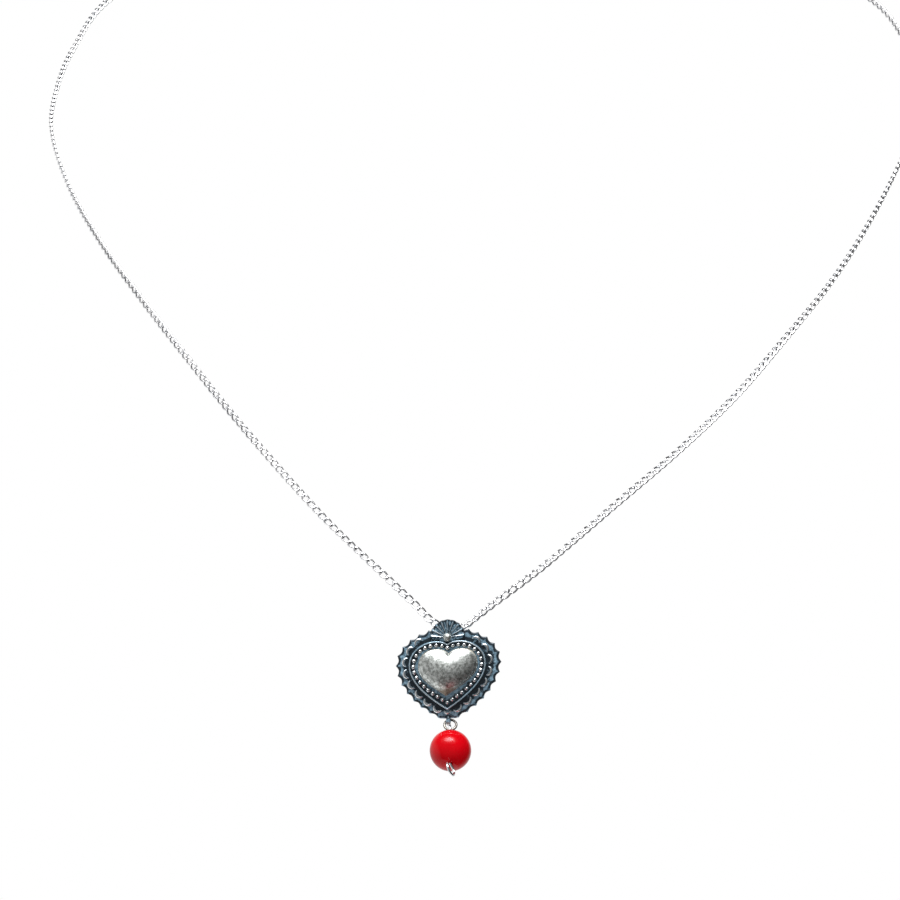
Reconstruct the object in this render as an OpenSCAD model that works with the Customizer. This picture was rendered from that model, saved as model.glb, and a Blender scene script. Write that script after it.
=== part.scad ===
// Heart pendant on its chain. A cast folk heart with a fan crest hangs from a curb
// chain by a tube bail, and a red bead dangles from the heart's tip on a looped wire.
// Millimetres, +Z up, the front faces -Y. The origin is at the nape, in the clasp's middle.

/* [Chain] */
// Wire diameter of one chain link
link_wire = 0.3; // [0.26:0.02:0.32]
// Spacing of the links along the chain, before it is fitted to each side
link_pitch = 1.36; // [1.32:0.02:1.4]
// Free play between two linked links
link_play = 0.08; // [0.07:0.01:0.1]
// Width of one link over its outside
link_width = 1.2; // [1.16:0.02:1.3]

/* [Clasp] */
// Radius of the spring ring's centre line
clasp_r = 2.2; // [2.15:0.05:2.3]
// Outside radius of the spring ring's tube
clasp_tube_r = 0.55; // [0.52:0.01:0.58]
// Bore radius of the spring ring's tube
clasp_bore_r = 0.38; // [0.36:0.01:0.4]
// Radial clearance of the sliding bolt in the bore
bolt_play = 0.05; // [0.03:0.01:0.08]
// Angle of the gap that the bolt closes
gap_angle = 50; // [40:1:52]

/* [Heart] */
// Thickness of the toothed back plate
plate_t = 0.6; // [0.5:0.05:0.65]
// Depth of the hollows between the teeth
tooth_d = 0.36; // [0.2:0.02:0.44]
// Height of the heart tray on the plate
tray_t = 0.5; // [0.3:0.05:0.8]
// Height of the rim above the tray
rim_h = 0.35; // [0.2:0.05:0.5]
// Diameter of a granule
granule_d = 0.58; // [0.5:0.02:0.62]
// Height of the domed heart's wall
dome_wall = 0.5; // [0.3:0.05:0.7]
// Rise of the domed heart above its wall
dome_rise = 1.3; // [0.7:0.05:1.4]
// Wire width of a scallop
scallop_wire = 0.34; // [0.26:0.02:0.36]
// How much higher each point sits for every millimetre that it is to the right
heart_skew = 0.045; // [0:0.005:0.05]

/* [Fan crest] */
// Radius of the fan
fan_r = 2.58; // [2.45:0.01:2.6]
// Thickness of the fan's plate
fan_t = 0.4; // [0.3:0.05:0.6]
// Diameter of the ball at the fan's root
fan_ball_d = 1.24; // [1.1:0.02:1.28]

/* [Bail] */
// Outside radius of the bail tube
bail_r = 1.7; // [1.65:0.05:1.75]
// Bore radius of the bail tube
bail_bore_r = 1.35; // [1.3:0.01:1.4]
// Length of the bail tube
bail_l = 1.6; // [1.2:0.1:1.8]

/* [Dangle] */
// Diameter of the red bead
bead_d = 6; // [5:0.1:6.2]
// Bore diameter of the bead
bead_bore_d = 0.38; // [0.36:0.01:0.44]
// Wire diameter of the dangle's two eyes
eye_wire_d = 0.36; // [0.32:0.01:0.38]
// Forward lean of the drop ring
ring_lean = 40; // [10:1:50]
// Forward lean of the dangle
dangle_lean = 57; // [20:1:65]

/* [Hidden] */
$fn = 48;

// The chain's way round the neck, from the clasp down the left side, through the bail and up again
route_left = [[-6, 0, 0], [-19, -1, -1], [-38, -4, -4], [-55, -10, -9], [-67, -19, -17], [-71.5, -30, -27.5],
    [-72.5, -39, -35], [-71.5, -50, -43.5], [-66.5, -62, -54], [-59, -74, -64.5], [-51, -83.5, -74],
    [-43, -92, -83], [-35, -99, -92], [-27, -105, -100.5], [-18.5, -110.5, -109], [-9.5, -115, -117],
    [-5, -117, -121], [-2.3, -117.9, -123.5]];
bail_at = [0, -118, -125];
hang_at = [0, -118, -124.45];
route_right = [[2.2, -118, -124.2], [3.8, -117.6, -123.15], [6.5, -116.5, -121], [14.5, -113.5, -115],
    [24.5, -108, -106.5], [34, -102, -98.5], [43, -94, -90], [51, -85, -81], [59, -75, -71.5],
    [65.5, -65, -62], [71.5, -54, -51.5], [75.5, -45.5, -43], [77, -38, -36], [76, -29, -28],
    [71, -19.5, -18.5], [58, -10, -9.5], [40, -4, -4], [20, -1, -1], [4, 0, 0]];
route = concat(route_left, [hang_at], route_right);
route_steps = 8;
neck_axis = [0, -59, 0];
link_half = (link_pitch + link_wire + link_play) / 2;
link_r = (link_width - link_wire) / 2;
link_roll = 45;
link_fn = 24;

// Clasp: angles run in the spring ring's plane from the right chain towards the top
gap_start = 30;
bolt_seat = 6;
bolt_tail = 50;
bolt_travel = gap_angle + bolt_seat;
knob_angle = gap_start + gap_angle + 20;
knob_r = 0.18;
knob_out = 1.0;
slot_w = 0.5;
slot_margin = 6;
ring_play = 0.05;
eye_r = 0.7;
eye_wire_r = 0.25;
solder_depth = 0.2;
jump_r = 1.0;
jump_wire_r = 0.2;
end_r = 1.3;
end_wire_r = 0.2;
end_play = 0.2;
eye_x = -(clasp_r + clasp_tube_r + eye_r + eye_wire_r - solder_depth);
jump_x = eye_x - eye_r - (jump_r - jump_wire_r - eye_wire_r - ring_play);
end_x = clasp_r + end_r - end_wire_r - clasp_tube_r - end_play;

// Heart outlines: the upper curve of each half runs from the cleft to the side, the lower one to the tip
plate_curves = [[[0, 0.9], [3, 0.9], [7.7, -0.8], [7.7, -4.4]],
    [[7.7, -4.4], [7.7, -8.1], [3.3, -12.5], [0, -12.45]]];
scallop_curves = [[[0, -0.9], [2.6, 0.3], [6.1, -1.4], [6.1, -4.7]],
    [[6.1, -4.7], [6.1, -7.6], [2.8, -10.3], [0, -11.9]]];
tray_curves = [[[0, -1.55], [1.6, -0.4], [5.6, -1.45], [5.6, -4.55]],
    [[5.6, -4.55], [5.6, -7], [2.9, -9.3], [0, -11.15]]];
rim_curves = [[[0, -1.8], [1.6, -0.65], [5.4, -1.65], [5.4, -4.55]],
    [[5.4, -4.55], [5.4, -6.9], [2.75, -9.1], [0, -10.9]]];
granule_curves = [[[0, -2.13], [1.4, -1.2], [4.98, -1.7], [4.98, -4.7]],
    [[4.98, -4.7], [4.98, -6.7], [2.5, -8.6], [0, -10.1]]];
dome_curves = [[[0, -2.95], [0.8, -1.9], [4.34, -1.65], [4.34, -4.7]],
    [[4.34, -4.7], [4.34, -6.5], [1.9, -7.9], [0, -9.15]]];
// How far the plate sits to the right of the other pieces
plate_shift = 0.15;
curve_steps = 16;
fine_steps = 40;
teeth = 15;
tooth_steps = 4;
// Beside the tip the hollows are shallow, and the teeth hang a little lower than the outline
tip_d = 0.07;
tip_drop = 0.2;
tip_reach = 2.9;
tip_from = -9;
scallops = 8;
scallop_gap = 1.75;
scallop_r = 0.64;
scallop_span = 160;
scallop_in = 0.26;
tip_scallop_y = -11.2;
tip_scallop_r = 0.45;
granule_count = 17;
dome_middle = [0, -5.7];
dome_inset = 0.95;
dome_rings = 6;
dome_power = 0.8;
dome_oval = [4, 3.3];
dome_skew = 0.06;

// Heights above the bail's axis, towards the front
plate_z = 1.6;
tray_z = plate_z + plate_t;
face_z = tray_z + tray_t;
fan_z = tray_z + fan_t;
plate_mid = plate_z + plate_t / 2;

// Fan crest
fan_at = [0, -0.6];
fan_from = -4;
fan_span = 188;
rays = 9;
ray_start = 0.72;
ray_end = 2.4;
ray_r_in = 0.09;
ray_r_out = 0.27;
lobe_steps = 6;
lobe_d = 0.06;
fan_foot = [[-1.3, -0.4], [0, -0.8], [1.3, -0.4]];
ball_sunk = 0.25;

// Dangle: the eyelet soldered to the tip, the ring in it and the bead's wire on the ring
eyelet_x = 0.13;
eyelet_y = -12.69;
eyelet_r = 0.6;
eyelet_wire_r = 0.25;
ring_r = 0.87;
ring_wire_r = 0.18;
ring_shift = 0.3;
ring_top_y = -12.73;
link_gap = 0.03;
stem_r = 0.15;
upper_eye_r = 0.97;
lower_eye_r = 0.97;
lower_eye_turn = 28;
dangle_sway = 3;
ring_y = -sqrt(ring_r * ring_r - ring_shift * ring_shift);
hinge_y = ring_y - ring_r;
upper_eye_y = -(upper_eye_r - eye_wire_d / 2 - ring_wire_r - link_gap);
bead_y = upper_eye_y - upper_eye_r - eye_wire_d / 2 - link_gap - bead_d / 2;
lower_eye_y = bead_y - bead_d / 2 - link_gap - eye_wire_d / 2 - lower_eye_r;

function unit(v) = v / norm(v);

function bezier(p, t) = pow(1 - t, 3) * p[0] + 3 * pow(1 - t, 2) * t * p[1]
    + 3 * (1 - t) * t * t * p[2] + pow(t, 3) * p[3];

function hermite(a, b, da, db, t) = (2 * pow(t, 3) - 3 * t * t + 1) * a + (pow(t, 3) - 2 * t * t + t) * da
    + (3 * t * t - 2 * pow(t, 3)) * b + (pow(t, 3) - t * t) * db;

// Distance travelled at each point of a path
function travelled(p) = [for (i = 0, s = 0; i < len(p);
    s = s + norm(p[min(i + 1, len(p) - 1)] - p[i]), i = i + 1) s];

// One coordinate of a path against the distance travelled
function column(p, s, axis) = [for (i = [0:len(p) - 1]) [s[i], p[i][axis]]];

// Chain: a smooth curve through the route, and places and frames along it
function heading(i) = unit(route[min(i + 1, len(route) - 1)] - route[max(i - 1, 0)]);
function stretch(i) = norm(route[i + 1] - route[i]);
path = concat([for (i = [0:len(route) - 2], k = [0:route_steps - 1])
    hermite(route[i], route[i + 1], stretch(i) * heading(i), stretch(i) * heading(i + 1), k / route_steps)],
    [route[len(route) - 1]]);
path_s = travelled(path);
path_x = column(path, path_s, 0);
path_y = column(path, path_s, 1);
path_z = column(path, path_s, 2);
bail_s = path_s[len(route_left) * route_steps];
chain_s = path_s[len(path) - 1];
function place(s) = [lookup(s, path_x), lookup(s, path_y), lookup(s, path_z)];
function along(s) = unit(place(min(s + link_half, chain_s)) - place(max(s - link_half, 0)));
function outward(s) = let (p = place(s) - neck_axis, d = [p.x, p.y, 0], t = along(s)) unit(d - t * (d * t));

// Heart: half and whole outlines; the whole heart is a little crooked, its right side higher
function half_outline(curves, steps) = concat([for (i = [0:steps - 1]) bezier(curves[0], i / steps)],
    [for (i = [0:steps]) bezier(curves[1], i / steps)]);
function crooked(p) = [p.x, p.y + heart_skew * p.x];
function mirrored(half) = concat([for (p = half) crooked(p)],
    [for (i = [len(half) - 2:-1:1]) crooked([-half[i].x, half[i].y])]);
function heart_outline(curves) = mirrored(half_outline(curves, curve_steps));
function half_length(half) = let (s = travelled(half)) s[len(s) - 1];
function point_on(half, s) = let (d = travelled(half))
    [lookup(s, column(half, d, 0)), lookup(s, column(half, d, 1))];
function inward_on(half, s) = let (t = unit(point_on(half, s + 0.1) - point_on(half, s - 0.1))) [t.y, -t.x];

// The toothed edge dips between its teeth
function lowered(p) = p.y > tip_from ? p : [p.x, p.y - tip_drop * sin(180 * min(p.x / tip_reach, 1))];
function toothed_half(half) = let (l = half_length(half)) [for (i = [0:teeth * tooth_steps])
    let (u = i / tooth_steps, s = l * u / teeth,
        dip = (u > teeth - 1 ? tip_d : tooth_d) * sin(180 * (u - floor(u))))
    lowered(i == 0 || i == teeth * tooth_steps ? point_on(half, s)
        : point_on(half, s) + dip * inward_on(half, s))];

module torus(r, wire_r) {
    rotate_extrude() translate([r, 0]) circle(wire_r);
}

// Oval link: two half rings joined by two straight wires
module oval_link() {
    straight = link_half - link_r;
    for (end = [0, 180]) rotate([0, 0, end]) {
        translate([straight, 0, 0]) rotate([0, 0, -90]) rotate_extrude(angle = 180)
            translate([link_r, 0]) circle(d = link_wire, $fn = link_fn);
        translate([-straight, link_r, 0]) rotate([0, 90, 0])
            cylinder(h = 2 * straight, d = link_wire, $fn = link_fn);
    }
}

// One link lies in the plane of the chain's direction, rolled out of the chain's flat side
module link(s, roll) {
    p = place(s);
    t = along(s);
    n = outward(s);
    axis = cos(roll) * n + sin(roll) * cross(t, n);
    side = cross(axis, t);
    multmatrix([[t.x, side.x, axis.x, p.x],
        [t.y, side.y, axis.y, p.y],
        [t.z, side.z, axis.z, p.z],
        [0, 0, 0, 1]]) oval_link();
}

// Links of one side, from the bail outwards: an odd number, spaced so that the last one ends the side
module chain_side(length, way) {
    count = 2 * round(length / link_pitch / 2 - 0.25);
    pitch = length / (count + 0.5);
    for (i = [0:count]) link(bail_s + way * (i + 0.5) * pitch, (i % 2 == 0 ? way : -way) * link_roll);
}

module on_clasp() {
    rotate([90, 0, 0]) children();
}

module on_heart() {
    translate(bail_at) rotate([90, 0, 0]) children();
}

// The ring leans forward about the point where its wire passes through the eyelet
module on_ring() {
    on_heart() translate([eyelet_x, ring_top_y, plate_mid]) rotate([-ring_lean, 0, 0]) children();
}

module on_dangle() {
    on_ring() translate([ring_shift, hinge_y, 0]) rotate([ring_lean - dangle_lean, 0, 0])
        rotate([0, 0, dangle_sway]) children();
}

module chain_left() {
    color("gainsboro") chain_side(bail_s, -1);
}

module chain_right() {
    color("gainsboro") chain_side(chain_s - bail_s, 1);
}

module clasp_jump_ring() {
    color("gainsboro") translate([jump_x, 0, 0]) rotate([link_roll, 0, 0]) torus(jump_r, jump_wire_r);
}

module clasp_eye() {
    color("gainsboro") on_clasp() translate([eye_x, 0, 0]) torus(eye_r, eye_wire_r);
}

module end_ring() {
    color("gainsboro") translate([end_x, 0, 0]) rotate([-link_roll, 0, 0]) torus(end_r, end_wire_r);
}

// Spring ring: an open tube with a slot for the bolt's knob
module clasp_ring() {
    color("gainsboro") on_clasp() difference() {
        rotate([0, 0, gap_start + gap_angle]) rotate_extrude(angle = 360 - gap_angle)
            translate([clasp_r, 0]) difference() {
                circle(clasp_tube_r);
                circle(clasp_bore_r);
            }
        rotate([0, 0, knob_angle - slot_margin]) rotate_extrude(angle = bolt_travel + 2 * slot_margin)
            translate([clasp_r + clasp_bore_r / 2, -slot_w / 2]) square([clasp_tube_r, slot_w]);
    }
}

module clasp_bolt() {
    color("silver") on_clasp() {
        rotate([0, 0, gap_start - bolt_seat]) rotate_extrude(angle = gap_angle + bolt_seat + bolt_tail)
            translate([clasp_r, 0]) circle(clasp_bore_r - bolt_play);
        rotate([0, 0, knob_angle]) translate([clasp_r, 0, 0]) rotate([0, 90, 0])
            cylinder(h = knob_out, r = knob_r);
    }
}

// The tube is filed flat where it is soldered to the plate
module bail_tube() {
    color("slategray") on_heart() difference() {
        rotate([0, 90, 0]) cylinder(h = bail_l, r = bail_r, center = true);
        rotate([0, 90, 0]) cylinder(h = bail_l + 1, r = bail_bore_r, center = true);
        translate([-bail_l, -bail_r, plate_z]) cube([2 * bail_l, 2 * bail_r, bail_r]);
    }
}

module back_plate() {
    color("slategray") on_heart() translate([plate_shift, 0, plate_z]) linear_extrude(plate_t)
        polygon(mirrored(toothed_half(half_outline(plate_curves, fine_steps))));
}

module scallop(at, out, r) {
    translate([at.x, at.y, tray_z]) rotate([0, 0, atan2(out.y, out.x) - scallop_span / 2])
        rotate_extrude(angle = scallop_span) intersection() {
            translate([r, 0]) circle(d = scallop_wire);
            square(2 * r);
        }
}

module scallop_border() {
    half = half_outline(scallop_curves, fine_steps);
    length = half_length(half);
    color("lightslategray") on_heart() {
        scallop([0, tip_scallop_y], [0, -1], tip_scallop_r);
        for (i = [1:scallops]) {
            out = -inward_on(half, length - i * scallop_gap);
            at = point_on(half, length - i * scallop_gap) - scallop_in * out;
            for (way = [1, -1]) scallop(crooked([way * at.x, at.y]), [way * out.x, out.y], scallop_r);
        }
    }
}

module tray() {
    color("slategray") on_heart() translate([0, 0, tray_z]) linear_extrude(tray_t)
        polygon(heart_outline(tray_curves));
}

module rim() {
    color("silver") on_heart() translate([0, 0, face_z]) linear_extrude(rim_h) difference() {
        polygon(heart_outline(tray_curves));
        polygon(heart_outline(rim_curves));
    }
}

module granule(at) {
    translate([at.x, at.y, face_z]) rotate_extrude() intersection() {
        circle(d = granule_d);
        square(granule_d);
    }
}

module granules() {
    half = half_outline(granule_curves, fine_steps);
    length = half_length(half);
    color("silver") on_heart() {
        granule(half[0]);
        granule(half[len(half) - 1]);
        for (i = [1:granule_count - 1]) {
            at = point_on(half, length * i / granule_count);
            for (way = [1, -1]) granule(crooked([way * at.x, at.y]));
        }
    }
}

// Puffed heart, leaning a little: outlines that shrink and round off to an oval as they rise, up to one point
module dome_heart() {
    outline = [for (p = heart_outline(dome_curves)) [p.x + dome_skew * (p.y - dome_middle.y), p.y]];
    n = len(outline);
    sizes = concat([1], [for (i = [0:dome_rings - 1]) dome_inset * (1 - pow(i / dome_rings, 1.6))]);
    heights = concat([0], [for (i = [0:dome_rings - 1])
        dome_wall + dome_rise * pow(1 - pow(sizes[i + 1] / dome_inset, 2), dome_power)]);
    arms = [for (p = outline) p - dome_middle];
    ovals = [for (a = arms) let (t = atan2(a.y, a.x)) [dome_oval.x * cos(t), dome_oval.y * sin(t)]];
    points = concat([for (j = [0:dome_rings], i = [0:n - 1])
        let (p = dome_middle + sizes[j] * (sizes[j] * arms[i] + (1 - sizes[j]) * ovals[i]))
        [p.x, p.y, heights[j]]], [[dome_middle.x, dome_middle.y, dome_wall + dome_rise]]);
    top = n * (dome_rings + 1);
    base_face = [for (i = [0:n - 1]) i];
    side_faces = [for (j = [0:dome_rings - 1], i = [0:n - 1])
        let (a = j * n + i, b = j * n + (i + 1) % n) each [[a, a + n, b], [b, a + n, b + n]]];
    top_faces = [for (i = [0:n - 1]) [n * dome_rings + i, top, n * dome_rings + (i + 1) % n]];
    color("whitesmoke") on_heart() translate([0, 0, face_z])
        polyhedron(points, concat([base_face], side_faces, top_faces));
}

module on_fan() {
    on_heart() translate([fan_at.x, fan_at.y, tray_z]) children();
}

// The fan's edge bulges a little at the end of each ray
module fan_plate() {
    step = fan_span / rays;
    rim_points = [for (i = [0:rays * lobe_steps]) let (a = i * step / lobe_steps,
        r = fan_r - lobe_d + lobe_d * abs(sin(180 * a / step))) r * [cos(fan_from + a), sin(fan_from + a)]];
    color("slategray") on_fan() linear_extrude(fan_t)
        polygon([for (p = concat(rim_points, fan_foot)) crooked(p)]);
}

module fan_rays() {
    step = fan_span / rays;
    color("lightslategray") on_fan() translate([0, 0, fan_t])
        for (i = [0:rays - 1]) rotate([0, 0, fan_from + (i + 0.5) * step]) difference() {
            translate([ray_start, 0, 0]) rotate([0, 90, 0])
                cylinder(h = ray_end - ray_start, r1 = ray_r_in, r2 = ray_r_out);
            translate([0, -fan_r, -2 * fan_r]) cube(2 * fan_r);
        }
}

module fan_ball() {
    color("whitesmoke") on_fan() translate([0, 0, fan_t]) difference() {
        translate([0, 0, ball_sunk]) sphere(d = fan_ball_d);
        translate([-fan_ball_d, -fan_ball_d, -2 * fan_ball_d]) cube(2 * fan_ball_d);
    }
}

module tip_eyelet() {
    color("slategray") on_heart() translate([eyelet_x, eyelet_y, plate_mid]) rotate([0, 90, 0])
        torus(eyelet_r, eyelet_wire_r);
}

module drop_ring() {
    color("silver") on_ring() translate([ring_shift, ring_y, 0]) torus(ring_r, ring_wire_r);
}

// One wire: the upper eye on the ring, the stem through the bead and the turned lower eye
module eye_wire() {
    color("silver") on_dangle() {
        translate([0, upper_eye_y, 0]) rotate([0, 90, 0]) torus(upper_eye_r, eye_wire_d / 2);
        translate([0, upper_eye_y - upper_eye_r, 0]) rotate([90, 0, 0])
            cylinder(h = upper_eye_y - upper_eye_r - lower_eye_y - lower_eye_r, r = stem_r);
        translate([0, lower_eye_y, 0]) rotate([0, 90 - lower_eye_turn, 0]) torus(lower_eye_r, eye_wire_d / 2);
    }
}

module coral_bead() {
    color("crimson") on_dangle() translate([0, bead_y, 0]) difference() {
        sphere(d = bead_d);
        rotate([90, 0, 0]) cylinder(h = bead_d + 1, d = bead_bore_d, center = true);
    }
}

chain_left();
chain_right();
clasp_jump_ring();
clasp_eye();
clasp_ring();
clasp_bolt();
end_ring();
bail_tube();
back_plate();
scallop_border();
tray();
rim();
granules();
dome_heart();
fan_plate();
fan_rays();
fan_ball();
tip_eyelet();
drop_ring();
eye_wire();
coral_bead();
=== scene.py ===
"""Looks of a folk heart pendant: oxidised silver heart, curb chain and red bead.

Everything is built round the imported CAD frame, in the frame's own place and scale.
"""

import math

import bpy
import numpy as np
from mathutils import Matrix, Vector


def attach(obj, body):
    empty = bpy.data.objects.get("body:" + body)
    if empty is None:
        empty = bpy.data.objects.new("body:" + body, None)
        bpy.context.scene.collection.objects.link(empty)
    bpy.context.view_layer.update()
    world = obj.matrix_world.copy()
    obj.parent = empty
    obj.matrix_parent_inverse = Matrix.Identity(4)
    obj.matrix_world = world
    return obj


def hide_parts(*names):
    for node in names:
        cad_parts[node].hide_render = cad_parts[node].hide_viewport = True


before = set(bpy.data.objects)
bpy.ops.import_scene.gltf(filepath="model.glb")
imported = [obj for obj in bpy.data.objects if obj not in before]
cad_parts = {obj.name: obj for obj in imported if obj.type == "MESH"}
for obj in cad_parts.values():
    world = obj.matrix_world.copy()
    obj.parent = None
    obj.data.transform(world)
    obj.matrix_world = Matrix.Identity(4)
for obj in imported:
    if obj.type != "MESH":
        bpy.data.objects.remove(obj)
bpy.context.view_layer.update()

MM = 0.001

# Lengths below are in millimetres unless they say otherwise, and colours are linear

# Camera: level, a little to the right of the pendant, at the photograph's scale
CAMERA_LENS = 117.57
CAMERA_SENSOR = 36.0
CAMERA_CLIP = 10
CAMERA_AT = (22.753, -547.398, -98.373)
CAMERA_TURN = math.radians(3)

# The frame's fixed points
BAIL = np.array([0.0, -118.0, -125.0])
HANG = np.array([0.0, -118.0, -124.45])
NECK_AXIS = np.array([0.0, -59.0, 0.0])
HEART_MIDDLE = BAIL + (0, 0, -8)

# Heights above the bail's axis, towards the front
PLATE_BACK = 1.6
PLATE_MID = 1.9
PLATE_FACE = 2.2
FAN_FACE = 2.6
TRAY_FACE = 2.7

# The chain's way round the neck, as in the CAD source
ROUTE_LEFT = [
    (-6, 0, 0), (-19, -1, -1), (-38, -4, -4), (-55, -10, -9), (-67, -19, -17), (-71.5, -30, -27.5),
    (-72.5, -39, -35), (-71.5, -50, -43.5), (-66.5, -62, -54), (-59, -74, -64.5), (-51, -83.5, -74),
    (-43, -92, -83), (-35, -99, -92), (-27, -105, -100.5), (-18.5, -110.5, -109), (-9.5, -115, -117),
    (-5, -117, -121), (-2.3, -117.9, -123.5),
]
ROUTE_RIGHT = [
    (2.2, -118, -124.2), (3.8, -117.6, -123.15), (6.5, -116.5, -121), (14.5, -113.5, -115),
    (24.5, -108, -106.5), (34, -102, -98.5), (43, -94, -90), (51, -85, -81), (59, -75, -71.5),
    (65.5, -65, -62), (71.5, -54, -51.5), (75.5, -45.5, -43), (77, -38, -36), (76, -29, -28),
    (71, -19.5, -18.5), (58, -10, -9.5), (40, -4, -4), (20, -1, -1), (4, 0, 0),
]
ROUTE_STEPS = 8
CORD_POINTS = 200

# Curb links
LINK_PITCH = 1.36
LINK_HALF_LENGTH = 0.86
LINK_HALF_WIDTH = 0.45
LINK_WIRE = 0.15
LINK_TWIST = math.radians(-45)
LINK_STEPS = 20
LINK_SIDES = 8
# How far the chain has rolled off its flat side, in degrees, against its sideways place
ROLL_LEFT = [(-72, 0), (-45, 25), (-33, 5), (-24, 35), (-14.5, 65), (-8, 20), (0, 0)]
ROLL_RIGHT = [(0, 0), (4, 60), (9, 5), (16.5, 60), (26, 40), (35, 60), (47, 25), (56, 5), (77, 0)]
# The clasp's pieces at the end of each side
CLASP_LEFT = ["clasp_jump_ring", "clasp_eye", "clasp_ring", "clasp_bolt"]
CLASP_RIGHT = ["end_ring"]

# Heart outlines: for each half the upper curve from the cleft to the side, then the lower one to the tip
PLATE = [[(0, 0.9), (3, 0.9), (7.7, -0.8), (7.7, -4.4)],
         [(7.7, -4.4), (7.7, -8.1), (3.3, -12.5), (0, -12.45)]]
SCALLOPS = [[(0, -0.9), (2.6, 0.3), (6.1, -1.4), (6.1, -4.7)],
            [(6.1, -4.7), (6.1, -7.6), (2.8, -10.3), (0, -11.9)]]
TRAY = [[(0, -1.55), (1.6, -0.4), (5.6, -1.45), (5.6, -4.55)],
        [(5.6, -4.55), (5.6, -7), (2.9, -9.3), (0, -11.15)]]
RIM = [[(0, -1.8), (1.6, -0.65), (5.4, -1.65), (5.4, -4.55)],
       [(5.4, -4.55), (5.4, -6.9), (2.75, -9.1), (0, -10.9)]]
GRANULES = [[(0, -2.13), (1.4, -1.2), (4.98, -1.7), (4.98, -4.7)],
            [(4.98, -4.7), (4.98, -6.7), (2.5, -8.6), (0, -10.1)]]
DOME = [[(0, -2.95), (0.8, -1.9), (4.34, -1.65), (4.34, -4.7)],
        [(4.34, -4.7), (4.34, -6.5), (1.9, -7.9), (0, -9.15)]]
CURVE_STEPS = 60
# The heart is a little crooked: this much higher for each millimetre to the right, and the dome leans besides
HEART_SKEW = 0.045
PLATE_SHIFT = 0.15
DOME_SKEW = 0.06

# Wear runs from below 0 in black hollows to 1 on ridges that are rubbed bright, painted highlights included

TEETH = 15
TOOTH_STEPS = 10
TOOTH_DEPTH = 0.36
TOOTH_WEAR = 0.25
# Beside the tip the hollows are shallow, and the teeth hang a little lower than the outline
TIP_FROM = -9
TIP_DEPTH = 0.07
TIP_DROP = 0.2
TIP_REACH = 2.9
# Flutes run in from the hollows: their depth, and the share of it that lies above the face
FLUTE_DEPTH = 0.1
FLUTE_ABOVE = 0.4
# The plate's edge from the back to the face: on the toothed or the smooth outline, how far inside it,
# height, share of the flutes, wear
PLATE_PROFILE = [
    (True, 0.06, PLATE_BACK, 0.0, 0.3),
    (True, 0.0, PLATE_BACK + 0.08, 0.0, -0.2),
    (True, 0.0, PLATE_FACE - 0.14, 0.0, -0.35),
    (True, 0.05, PLATE_FACE - 0.03, 0.3, -0.35),
    (True, 0.24, PLATE_FACE, 0.7, -0.25),
    (False, 0.78, PLATE_FACE, 1.0, 0.42),
    (False, 1.05, PLATE_FACE, 0.4, 0.1),
    (False, 1.3, PLATE_FACE, 0.0, -0.2),
]
PLATE_MIDDLE = (0, -5.5)
PLATE_BACK_WEAR, PLATE_FACE_WEAR = 0.3, 0.0
# The lower teeth are rubbed at their tips: where that begins, how soon it is full, and how much on which rows
RUBBED_FROM = -6.5
RUBBED_REACH = 3
RUBBED_ROWS = [(2, 1.0), (3, 1.2)]

SCALLOP_COUNT = 8
SCALLOP_GAP = 1.75
SCALLOP_RADIUS = 0.64
SCALLOP_SPAN = math.radians(160)
SCALLOP_INSET = 0.26
SCALLOP_STEPS = 17
SCALLOP_SIDES = 10
SCALLOP_THIN, SCALLOP_SWELL = 0.09, 0.15
SCALLOP_LIFT = 0.04
SCALLOP_BRIGHT_AT = 0.2
TIP_SCALLOP = np.array([0.0, -11.2])
TIP_SCALLOP_RADIUS = 0.45
TANGENT_STEP = 0.1

# The tray's wall and shoulder: how far inside its outline, height, wear
TRAY_POINTS = 80
TRAY_PROFILE = [(-0.04, PLATE_FACE - 0.02, 0.1), (0.0, PLATE_FACE + 0.15, 0.1), (0.0, TRAY_FACE, 0.1),
                (0.1, TRAY_FACE, -0.1)]
TRAY_GRAIN_WEAR, TRAY_DOME_WEAR, TRAY_MIDDLE_WEAR = -0.35, 0.3, 0.5
DOME_MARGIN = 1.05

# The rim's wall, and its wear from the outer foot over the crown to the inner foot
RIM_POINTS = 96
RIM_HEIGHT = 0.35
RIM_SHOULDER, RIM_CROWN = 0.08, 0.02
RIM_WEAR = (0.0, 0.15, 0.7, 1.05, 0.7, 0.15, 0.0)
# On top of its even wear it has a painted highlight, brightest towards the upper right and the lower left
RIM_MIDDLE = np.array([0.0, -5.2])
RIM_HIGHLIGHT_WAY = np.array([0.64, 0.77])
RIM_EVEN_WEAR, RIM_HIGHLIGHT_WEAR = 0.6, 0.4

# Grains and the fan's ball are cut off below their middles, at a share of a half turn
GRANULE_COUNT = 17
GRANULE_RADIUS = 0.32
GRANULE_FOOT = -0.25
GRANULE_STEPS, GRANULE_SIDES = 9, 16
GRANULE_VARIES, GRANULE_RHYTHM = 0.06, 5.1
GRANULE_WEAR = 0.35
BALL_RADIUS = 0.62
BALL_FOOT = -0.4
BALL_STEPS, BALL_SIDES = 20, 32
BALL_LIFT = 0.25

# The dome's wall, as sizes and heights, and the puffed part above it, whose rings crowd towards the wall
DOME_POINTS = 80
DOME_MIDDLE = np.array([0.0, -5.7])
DOME_WALL = 0.5
DOME_WALL_RINGS = ((0.99, 0.25), (0.975, 0.42), (0.96, 0.49))
DOME_FOOT_WEAR = -0.4
DOME_RISE = 1.3
DOME_INSET = 0.95
DOME_OVAL = np.array([4.0, 3.3])
DOME_RINGS = 25
DOME_CROWDING = 1.3
DOME_FULLNESS = 0.8
DOME_ROUNDING = 1.5
DOME_TARNISH_FROM, DOME_TARNISH_REACH = -8.7, 2.2

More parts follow.
